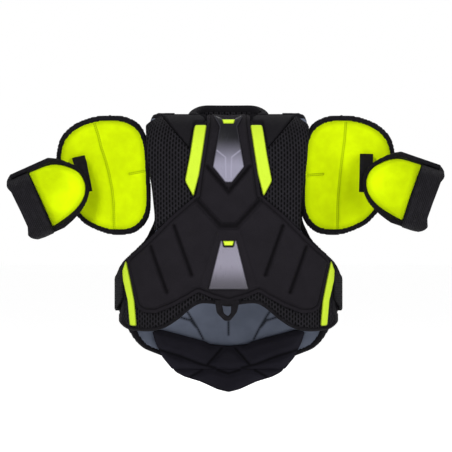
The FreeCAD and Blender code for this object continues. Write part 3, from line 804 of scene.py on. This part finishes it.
LINER = mirrored([
    (0, 6), (36, 6), (43, -54), (50, -99), (55, -138), (67, -147), (103, -178), (139, -215),
    (175, -248), (185, -258), (189, -300), (190, -346), (199, -349), (197.5, -360), (190, -372),
    (177, -378), (141, -380), (114, -374), (88, -357), (70, -340), (52, -328), (24, -330), (0, -336)])


def ring_of(corners, width):
    """The outline and a copy of it moved inwards."""
    loop = np.array(corners, float)
    before = loop - np.roll(loop, 1, 0)
    after = np.roll(loop, -1, 0) - loop
    before /= np.linalg.norm(before, axis=1)[:, None]
    after /= np.linalg.norm(after, axis=1)[:, None]
    turn = np.sign((loop[:, 0] * np.roll(loop[:, 1], -1) - np.roll(loop[:, 0], -1) * loop[:, 1]).sum())
    normal_a = np.stack([-before[:, 1], before[:, 0]], 1) * turn
    normal_b = np.stack([-after[:, 1], after[:, 0]], 1) * turn
    scale = width / (1 + (normal_a * normal_b).sum(1))
    inner = loop + (normal_a + normal_b) * scale[:, None]
    return [corners, [tuple(p) for p in inner]]


panel("chest_liner", chest, [ring_of(LINER, 4.0)[1]], (0.4, 4.2), mesh_cloth, "chest", step=3.4,
      rounds=12, edge=2.5)
panel("chest_binding", chest, ring_of(LINER, 7.0), (0.0, 5.4), binding_tape, "chest",
      step=2.4, rounds=20, edge=3.2)
LOOP = [(-25, -322), (-21, -346), (-7, -360), (3, -360), (15, -345), (20, -322)]
LOOP_HOLE = [(-11.5, -331), (-8.5, -346), (-3, -351), (0, -351), (4, -346), (5, -331)]
panel("belly_loop", chest, [LOOP, LOOP_HOLE], (4.8, 9.6), webbing, "chest", step=1.6,
      rounds=2, edge=2.2)

# ------------------------------------------------------------------ back

NECK_RADIUS = 60.0
NECK_BACK = 2.0
TOP_EDGE = 12.8       # height in the front view at which the back meets the shoulder pads


def neck_cut(count=13):
    """The neck opening in the front view of the back sheet, from the middle outwards."""
    core = BACK_DEPTH - ROUND
    points = []
    for turn in np.linspace(0, 72, count):
        x = NECK_RADIUS * math.sin(math.radians(turn))
        y = NECK_BACK + NECK_RADIUS * math.cos(math.radians(turn)) + x * x / (2 * back.reach)
        z = MIDDLE + core - y if y < core else -ROUND + math.sqrt((ROUND + MIDDLE) ** 2 - (y - core) ** 2)
        points.append((x, z))
    return points


BACK = mirrored(neck_cut() + [
    (66, TOP_EDGE), (120, TOP_EDGE), (131, 9), (138, 1), (143, -10), (144, -20), (141, -60), (136, -120),
    (133, -180), (150, -216), (184, -250), (194, -266), (194, -342), (183, -368), (170, -395), (156, -412),
    (116, -428), (60, -432), (0, -434)])
LINING_SEAMS = [[(s * 75, -346), (s * 66, -360), (s * 58, -373), (s * 46, -396)] for s in (-1, 1)]
LINING_SEAMS += [[(s * 91, -355), (s * 69, -362), (s * 60, -373)] for s in (-1, 1)]
LINING_SEAMS += [[(0, -364), (0, -388)]]


def plump(height, reach):
    return lambda verts, near, seat: height * smoothstep(0, reach, near)


panel("back_liner", back, [ring_of(BACK, 3.0)[1]], (0.3, 4.3), grey_lining, "back",
      step=3.4, rounds=8, edge=2.5, seams=LINING_SEAMS)
panel("back_shell", back, [ring_of(BACK, 3.0)[1]], (4.5, 10.6), foam_cloth, "back",
      step=3.6, rounds=8, edge=5.0)
panel("back_binding", back, ring_of(BACK, 10.0), (-0.4, 11.0), binding_tape, "back",
      step=2.6, rounds=14, edge=3.4)

SPINE_PLATES = (
    ("spine_plate_upper", [(0, -26), (30, -26), (36, -60), (26, -118), (0, -118)]),
    ("spine_plate_middle", [(0, -122), (27, -122), (32, -170), (27, -216), (0, -216)]),
    ("spine_plate_lower", [(0, -220), (27, -220), (30, -270), (20, -316), (0, -316)]))


def stepped(verts, near, seat):
    """A raised field inside a lower rim, with one pressed line round it."""
    return 1.1 * smoothstep(5, 9, near) - 0.9 * np.exp(-((near - 4.0) / 1.0) ** 2)


for plate, half in SPINE_PLATES:
    panel(plate, back, [mirrored(half)], (10.0, 12.8), black_plastic, "back", step=2.2,
          rounds=3, edge=2.0, relief=stepped)

BLADE = [(48, -24), (112, -20), (124, -62), (116, -128), (84, -166), (46, -148), (42, -80)]
KIDNEY = [(48, -186), (96, -190), (138, -250), (140, -330), (108, -376), (58, -352), (44, -262)]
KIDNEY_LINES = [[(62, -230), (128, -268)], [(56, -286), (136, -318)]]
for side_name, side in SIDES:
    panel("blade_plate_" + side_name, back, [BLADE], (10.2, 12.8), black_plastic,
          "back", step=2.6, rounds=4, edge=2.0, relief=stepped, side=side)
    panel("kidney_pad_" + side_name, back, [KIDNEY], (10.2, 14.0), quilt_cloth, "back",
          step=2.8, rounds=4, edge=7.0, side=side,
          relief=both(plump(2.2, 30), grooves(back, KIDNEY_LINES, 6.0, 3.2)), seams=KIDNEY_LINES)

# ------------------------------------------------------------------ lower back and tail

QUILT = [(129, -414), (87, -427), (51, -441), (24, -448), (0, -450)]
LUMBAR = mirrored([(0, -408), (33, -405), (42, -400), (123, -378), (138, -382), (133, -400), (120, -428),
                   (102, -450.2), (0, -450.2)])
TAIL = mirrored([(0, -449.4), (101, -449.4), (95, -456), (80, -464), (51, -473), (20, -487), (0, -492)])
LUMBAR_LINES = [[(s * x, z) for x, z in QUILT[:4]] for s in (-1, 1)]
LUMBAR_LINES += [[(s * 12, -412), (s * 40, -444)] for s in (-1, 1)]
TAIL_LINES = [[(s * 48, -452), (s * 69, -464)] for s in (-1, 1)] + [[(-20, -452), (0, -458), (20, -452)]]


def pillow(lines, height):
    """Quilting: swollen between sewn lines, pinched at them."""
    def relief(verts, near, seat):
        away = from_lines(verts, back, lines, seat)
        return height * (smoothstep(0, 11, away) * smoothstep(0, 12, near) - 0.5)
    return relief


def pillow_under(lines, height):
    relief = pillow(lines, height)
    return lambda verts, near, seat: -relief(verts, near, seat)


panel("lumbar_pad", back, [LUMBAR], (-7.5, -0.2), quilt_cloth, "back", step=2.4,
      rounds=2, edge=6.0, under=pillow_under(LUMBAR_LINES, 4.2), seams=LUMBAR_LINES)
tail = panel("lumbar_tail", back, [TAIL], (-7.5, -0.2), quilt_cloth, None, step=2.2,
             rounds=2, edge=6.0, under=pillow_under(TAIL_LINES, 3.6), relief=pillow(TAIL_LINES, 2.0),
             seams=TAIL_LINES)
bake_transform(tail)

# ------------------------------------------------------------------ shoulders and collar

top_sheet = Top()
YOKE = [(58, -19.4), (120, -19.4), (134, -14), (138, 0), (134, 14), (120, 19.4), (60, 19.4), (61.5, 0)]
CAP_END = 74.0        # distance from the cap's centre to the strap's sewn end


def yoke_strap_path(side, centre_x):
    """From the top of the shoulder, over its edge, to the back of the cap."""
    path = [(97, 0, 11.3), (112, 0, 11.3), (123, 4, 11), (131, 11, 9), (136, 18, 3), (139, 24, -8),
            (141, 28, -22), (abs(centre_x) - CAP_END, 31, -45)]
    return [(side * x, y, z) for x, y, z in path]


CAP_CENTRE = {"left": (-225.0, -90.0, -100.0), "right": (215.0, -90.0, -100.0)}
for side_name, side in SIDES:
    panel("yoke_pad_" + side_name, top_sheet, [YOKE], (0.3, 10.2), black_cloth, "back",
          step=2.4, rounds=2, edge=5.0, side=side)
    strap = tube("yoke_strap_" + side_name, yoke_strap_path(side, CAP_CENTRE[side_name][0]),
                 lambda share: (9.4, 1.2), webbing, None, across=lambda share: (0, 1, 0),
                 sides=24, power=5.0)
    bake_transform(strap)

COLLAR_SWEEP = 122.0


def collar_path(radius, height, sweep=COLLAR_SWEEP, drop=0.0, count=75):
    """An arc round the nape whose two ends run forwards and dip by the drop."""
    path = []
    for turn in np.linspace(-sweep, sweep, count):
        end = float(smoothstep(36.0, 98.0, abs(turn)))
        angle = math.radians(turn)
        path.append((radius * math.sin(angle), NECK_BACK + radius * math.cos(angle), height - drop * end))
    return path


def collar_size(share):
    end = 1 - abs(2 * share - 1)
    full = 0.35 + 0.65 * math.sqrt(min(1.0, end / 0.1))
    return 8.4 * full, 7.4 * full


tube("collar_roll", collar_path(64.5, 19.9, drop=14.0), collar_size, black_cloth,
     "back", sides=24, power=2.6)
tube("collar_piping", collar_path(60.2, 26.2, 112.0, 14.0), lambda share: (1.2, 1.2), binding_tape,
     "back", sides=10, nodes=[])
tube("collar_lining", collar_path(58.3, 5.0, 100.0), lambda share: (1.6, 12.0), mesh_cloth,
     "back", sides=40, power=4.0)

# ------------------------------------------------------------------ side straps

STRAP = [(61, -260), (68, -267), (76, -276), (90, -284), (120, -276), (153, -274), (153, -344), (90, -343),
         (76, -337), (66, -327), (61, -319)]


def tucked(verts, near, seat):
    """The strap's front end drops under the lime strip."""
    return -7.6 * (1 - smoothstep(61, 83, np.degrees(verts[:, 0] / (CORNER + MIDDLE))))


for side_name, side in SIDES:
    outline = [(math.radians(angle) * (CORNER + MIDDLE), z) for angle, z in STRAP]
    strap = panel("side_strap_" + side_name, Rib(side), [outline], (10.2, 13.2), strap_elastic,
                  "strap_" + side_name, step=2.8, rounds=1, edge=2.0, relief=tucked,
                  under=tucked)

# ------------------------------------------------------------------ shoulder caps

CAP = [(86, 35), (78, 70), (51, 94), (11, 107), (-36, 107), (-67, 92), (-80, 60), (-85, -50), (-81, -80),
       (-56, -104), (-10, -106), (36, -87), (68, -48), (84, -5)]
CAP_RADIUS = 141.0
LINK_START = {"left": 46.0, "right": 34.0}
LINK_TOP = {"left": -66.0, "right": -61.0}
LINK_END = 32.0
CAP_SEAMS = {
    "left": [[(17, 95), (10, 73), (4.5, 50), (-3, 28), (-10, 1), (-15, -26), (-18, -53), (-19, -99)],
             [(-45, 3), (-72, 8)]],
    "right": [[(-3.5, 97), (-5.5, 64), (-9, 37), (-12.5, 10), (-16, -26), (-18, -53), (-19, -98)],
              [(-73, 1), (-45, 3)]]}
ANCHOR = [(-78, 20), (-56, 20), (-50, 88), (-72, 84)]


def sewn_under(surface, lines, depth, width):
    """The hollow side is pinched towards the shell along its seams."""
    def relief(verts, near, seat):
        away = from_lines(verts, surface, lines, seat)
        return depth * np.exp(-(away / width) ** 2) - 0.8 * smoothstep(4, 20, near)
    return relief


for side_name, side in SIDES:
    dome = Dome(CAP_CENTRE[side_name], CAP_RADIUS, side)
    body = "cap_" + side_name
    seams = CAP_SEAMS[side_name]
    panel("cap_liner_" + side_name, dome, [ring_of(CAP, 4.0)[1]], (0.3, 4.7), lime_lining,
          body, step=2.4, rounds=60, edge=2.5, seams=seams,
          under=sewn_under(dome, seams, 2.2, 3.0))
    panel("cap_shell_" + side_name, dome, [ring_of(CAP, 4.0)[1]], (4.8, 9.4), foam_cloth,
          body, step=3.2, rounds=36, edge=4.0)
    panel("cap_binding_" + side_name, dome, ring_of(CAP, 7.4), (-1.0, 9.6), binding_tape,
          body, step=2.2, rounds=70, edge=3.6)
    panel("cap_plate_" + side_name, dome, [ring_of(CAP, 30.0)[1]], (9.2, 12.8), black_plastic,
          body, step=3.0, rounds=4, edge=2.2, relief=stepped)
    anchor = panel("cap_anchor_" + side_name, dome, [ANCHOR], (9.4, 11.8), webbing, body,
                   step=2.2, rounds=1, edge=1.4)
    centre = CAP_CENTRE[side_name]
    link = []
    top = LINK_TOP[side_name]
    for share, y, z in ((0, 29.8, top), (0.25, 22.6, -77), (0.5, 14, -95), (0.75, 13.9, -112),
                        (1, 13.9, -130)):
        lean = LINK_START[side_name] + (LINK_END - LINK_START[side_name]) * share
        link.append((centre[0] + side * lean, y, z))
    tab = tube("link_tab_" + side_name, link, lambda share: (12.0, 1.3), webbing, body,
               across=lambda share: (1, 0, 0), sides=24, power=5.0)

# ------------------------------------------------------------------ upper arm guards and elastic

GUARD = [(-93, 5), (-91, 22), (-82, 36), (-68, 50), (-53, 60), (-39, 65), (13, 66.5), (35, 63), (50, 52),
         (42, 38), (37, 20), (36, -28), (42, -43), (43, -52), (33, -57), (-3, -58.5), (-32, -52),
         (-51, -46), (-69, -37), (-82, -25), (-91, -9)]
GUARD_PLATE = [(-44, 26), (-30, 40), (28, 44), (39, 32), (35, -34), (-3, -38), (-28, -32), (-44, -16)]
ARM_CENTRE = {"left": (-336.0, -52.0, -147.6), "right": (328.5, -52.0, -135.0)}
ARM_TILT = {"left": 24.2, "right": 19.0}
ARM_RADIUS = 59.0
BAND = [(0.3, -94), (20, -91), (33, -78), (42, -62), (45, -50), (39, -31), (39, 0), (41, 50), (41, 88),
        (40, 101), (0.3, 101)]
BAND_RADIUS = 57.0
BAND_LIFT = -2.0


def band_end(verts, near, seat):
    """The band leans outwards at its upper end, where it is sewn into the cuff."""
    return 1.2 * smoothstep(70, 98, np.degrees(verts[:, 1] / BAND_RADIUS))


def inner_part(corners, limit, keep):
    """The outline cut off at one place along the arm; keep is -1 towards the shoulder."""
    points = []
    count = len(corners)
    for index in range(count):
        start, end = corners[index], corners[(index + 1) % count]
        if keep * (start[0] - limit) >= 0:
            points.append(start)
        if (start[0] - limit) * (end[0] - limit) < 0:
            share = (limit - start[0]) / (end[0] - start[0])
            points.append((limit, start[1] + share * (end[1] - start[1])))
    return points


for side_name, side in SIDES:
    sleeve = Sleeve(ARM_CENTRE[side_name], ARM_TILT[side_name], side, ARM_RADIUS, 4.0, 1)
    body = "bicep_" + side_name
    lining = ring_of(GUARD, 7.8)[1]
    panel("bicep_liner_" + side_name, sleeve, [inner_part(lining, -0.4, -1)], (-3.8, -0.3), lime_lining,
          body, step=2.2, rounds=6, edge=2.2)
    panel("cuff_liner_" + side_name, sleeve, [inner_part(lining, 0.4, 1)], (-3.8, -0.3), elastic,
          body, step=2.6, rounds=1, edge=2.0)
    panel("bicep_shell_" + side_name, sleeve, [ring_of(GUARD, 4.0)[1]], (-0.1, 4.2), foam_cloth,
          body, step=2.8, rounds=14, edge=3.4)
    panel("bicep_binding_" + side_name, sleeve, ring_of(GUARD, 7.4), (-4.4, 4.6), binding_tape,
          body, step=2.2, rounds=26, edge=3.6)
    panel("bicep_plate_" + side_name, sleeve, [GUARD_PLATE], (4.2, 7.2), black_plastic,
          body, step=2.2, rounds=3, edge=2.0, relief=stepped)
    front = Band(ARM_CENTRE[side_name], ARM_TILT[side_name], side, BAND_RADIUS, BAND_LIFT, -1)
    outline = [(along, math.radians(angle) * BAND_RADIUS) for along, angle in BAND]
    band = panel("elastic_band_" + side_name, front, [outline], (-1.2, 1.8), elastic, None,
                 step=2.2, rounds=1, edge=1.8, relief=band_end, under=band_end)
    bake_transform(band)

# ------------------------------------------------------------------ stage

VIEW_X, VIEW_Z = -4.5, -190.8
VIEW_WIDTH = 813.6
VIEW_DISTANCE = 12000.0
AMBIENT = 0.5
FLOOR_SIZE, FLOOR_DROP, FLOOR_GLOW = 40.0, 0.002, 0.52
LIGHTS = (
    ("key", (-1.4, -2.2, 1.6), (0, 0, -0.2), 66, (0.9, 0.9)),
    ("fill", (1.8, -2.0, 0.6), (0, 0, -0.2), 36, (1.2, 1.2)),
    ("rim", (0.2, 1.8, 1.8), (0, 0, -0.1), 30, (1.6, 1.0)))


def floor():
    mesh = bpy.data.meshes.new("floor")
    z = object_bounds()[0][2] - FLOOR_DROP
    corners = [(x * FLOOR_SIZE, y * FLOOR_SIZE, z) for x, y in ((-1, -1), (1, -1), (1, 1), (-1, 1))]
    mesh.from_pydata(corners, [], [(0, 1, 2, 3)])
    paint = bpy.data.materials.new("floor")
    paint.use_nodes = True
    shader = paint.node_tree.nodes["Principled BSDF"]
    shader.inputs["Base Color"].default_value = (0.93, 0.93, 0.93, 1)
    shader.inputs["Roughness"].default_value = 0.9
    shader.inputs["Emission Color"].default_value = (1, 1, 1, 1)
    shader.inputs["Emission Strength"].default_value = FLOOR_GLOW
    mesh.materials.append(paint)
    piece = bpy.data.objects.new("floor", mesh)
    bpy.context.scene.collection.objects.link(piece)
    piece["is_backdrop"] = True


def light(name, place, aim, power, size):
    data = bpy.data.lights.new(name, "AREA")
    data.energy = power
    data.shape = "RECTANGLE"
    data.size, data.size_y = size
    lamp = bpy.data.objects.new(name, data)
    lamp.location = place
    lamp.rotation_euler = (Vector(aim) - Vector(place)).to_track_quat("-Z", "Y").to_euler()
    bpy.context.scene.collection.objects.link(lamp)


def camera():
    data = bpy.data.cameras.new("camera")
    data.sensor_width = 36.0
    data.lens = data.sensor_width * VIEW_DISTANCE / VIEW_WIDTH
    eye = bpy.data.objects.new("camera", data)
    eye.location = (VIEW_X * MM, -VIEW_DISTANCE * MM, VIEW_Z * MM)
    eye.rotation_euler = (math.radians(90), 0, 0)
    bpy.context.scene.collection.objects.link(eye)
    bpy.context.scene.camera = eye


def studio():
    world = bpy.data.worlds.new("studio")
    world.use_nodes = True
    world.node_tree.nodes["Background"].inputs["Color"].default_value = (1, 1, 1, 1)
    bpy.context.scene.world = world
    tree = world.node_tree
    path = tree.nodes.new("ShaderNodeLightPath")
    strength = tree.nodes.new("ShaderNodeMapRange")
    strength.inputs["To Min"].default_value = AMBIENT
    tree.links.new(path.outputs["Is Camera Ray"], strength.inputs["Value"])
    tree.links.new(strength.outputs["Result"], tree.nodes["Background"].inputs["Strength"])
    bpy.context.scene.view_settings.view_transform = "Standard"
    for values in LIGHTS:
        light(*values)


floor()
studio()
camera()
